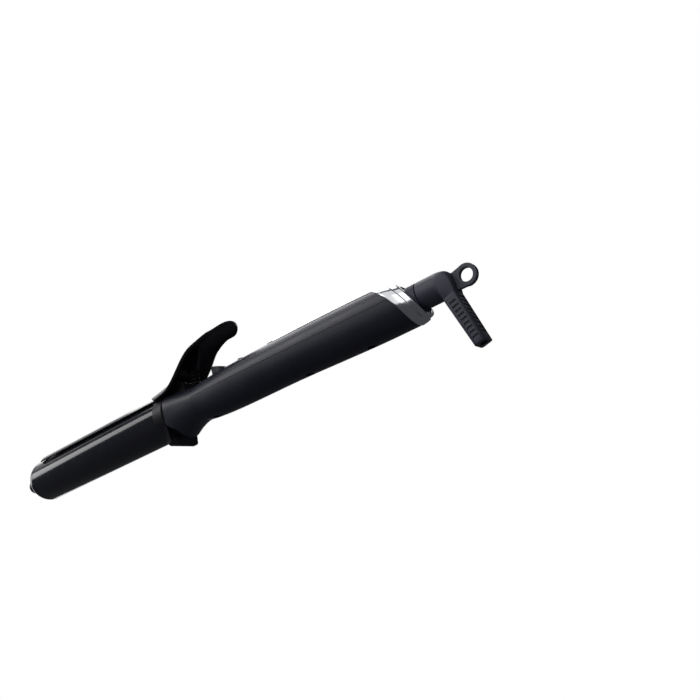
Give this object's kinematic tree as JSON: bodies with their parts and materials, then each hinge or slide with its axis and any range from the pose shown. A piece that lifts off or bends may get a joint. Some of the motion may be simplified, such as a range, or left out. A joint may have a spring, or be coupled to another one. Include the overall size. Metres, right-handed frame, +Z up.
{
  "type": "curling iron",
  "caption": "Hair curling iron: a round heated barrel with a sprung clip and thumb lever, a stand foot, a slant-ended handle with push buttons and a swivelling cord outlet with a hanging loop.",
  "frame": {"origin": "middle of the stand foot's flat underside", "axes": "+X along the barrel from the tip to the handle, +Z up towards the clip and its lever"},
  "size_m": [0.4134, 0.0342, 0.0882],
  "materials": {
    "barrel_coating": "glossy black coating",
    "handle_plastic": "satin black",
    "steel": "plain",
    "block_aluminium": "cast",
    "heater_ceramic": "matt",
    "spring_steel": "plain",
    "sensor_brass": "plain",
    "bush_plastic": "heat-resistant, matt",
    "lead_rubber": "silicone-covered wire",
    "foot_plastic": "satin black",
    "panel_gloss": "polished black",
    "trim_chrome": "polished",
    "board_plastic": "printed board",
    "parts_plastic": "moulded parts",
    "cord_rubber": "satin dark grey",
    "contact_brass": "plain",
    "button_plastic": "satin dark grey",
    "clip_coating": "glossy black coating",
    "lever_plastic": "satin black"
  },
  "bodies": {
    "handle": {"barrel_tube": "barrel_coating", "end_dome": "barrel_coating", "tip_knob": "handle_plastic", "tip_screw": "steel", "heater_block_upper": "block_aluminium", "heater_block_lower": "block_aluminium", "heater_elements": "heater_ceramic", "spreader_spring": "spring_steel", "thermistor": "sensor_brass", "thermal_fuse": "heater_ceramic", "barrel_bush": "bush_plastic", "heater_leads": "lead_rubber", "stand_foot": "foot_plastic", "nose_cone": "handle_plastic", "hinge_base": "spring_steel", "hinge_pin": "steel", "hinge_screws": "steel", "handle_upper_shell": "handle_plastic", "handle_lower_shell": "handle_plastic", "inner_frame": "bush_plastic", "top_panel": "panel_gloss", "trim_strip": "trim_chrome", "bezel": "trim_chrome", "end_cap": "foot_plastic", "shell_screws": "steel", "circuit_board": "board_plastic", "board_parts": "parts_plastic", "switch_board": "board_plastic", "button_switches": "steel", "swivel_socket": "cord_rubber", "brush_holder": "bush_plastic", "contact_brushes": "contact_brass", "supply_leads": "lead_rubber", "clip_spring": "spring_steel"},
    "clip": {"clip_plate": "clip_coating", "clip_lever": "lever_plastic", "lever_rib": "lever_plastic", "clip_rivets": "steel"},
    "power": {"power_button": "button_plastic"},
    "temperature": {"temperature_button": "button_plastic"},
    "swivel": {"cord_elbow": "cord_rubber", "spindle_ring": "spring_steel", "contact_rings": "contact_brass", "strain_relief": "cord_rubber"}
  },
  "joints": [
    {"name": "clip_hinge", "type": "hinge", "parent": "handle", "child": "clip", "pos_m": [0.012, 0, 0.0419], "axis": [0, 1, 0], "range_deg": [0, 22], "stiffness_Nm_per_rad": 0.6, "springref_deg": -28.65, "deforming": ["clip_spring"]},
    {"name": "power_press", "type": "slide", "parent": "handle", "child": "power", "axis": [0, 0, -1], "range_m": [0, 0.0006], "stiffness_N_per_m": 2000, "springref_m": -0.0003},
    {"name": "temperature_press", "type": "slide", "parent": "handle", "child": "temperature", "axis": [0, 0, -1], "range_m": [0, 0.0006], "stiffness_N_per_m": 2000, "springref_m": -0.0003},
    {"name": "cord_swivel", "type": "hinge", "parent": "handle", "child": "swivel", "pos_m": [0.2055, 0, 0.0202], "axis": [1, 0, 0], "continuous": true}
  ]
}
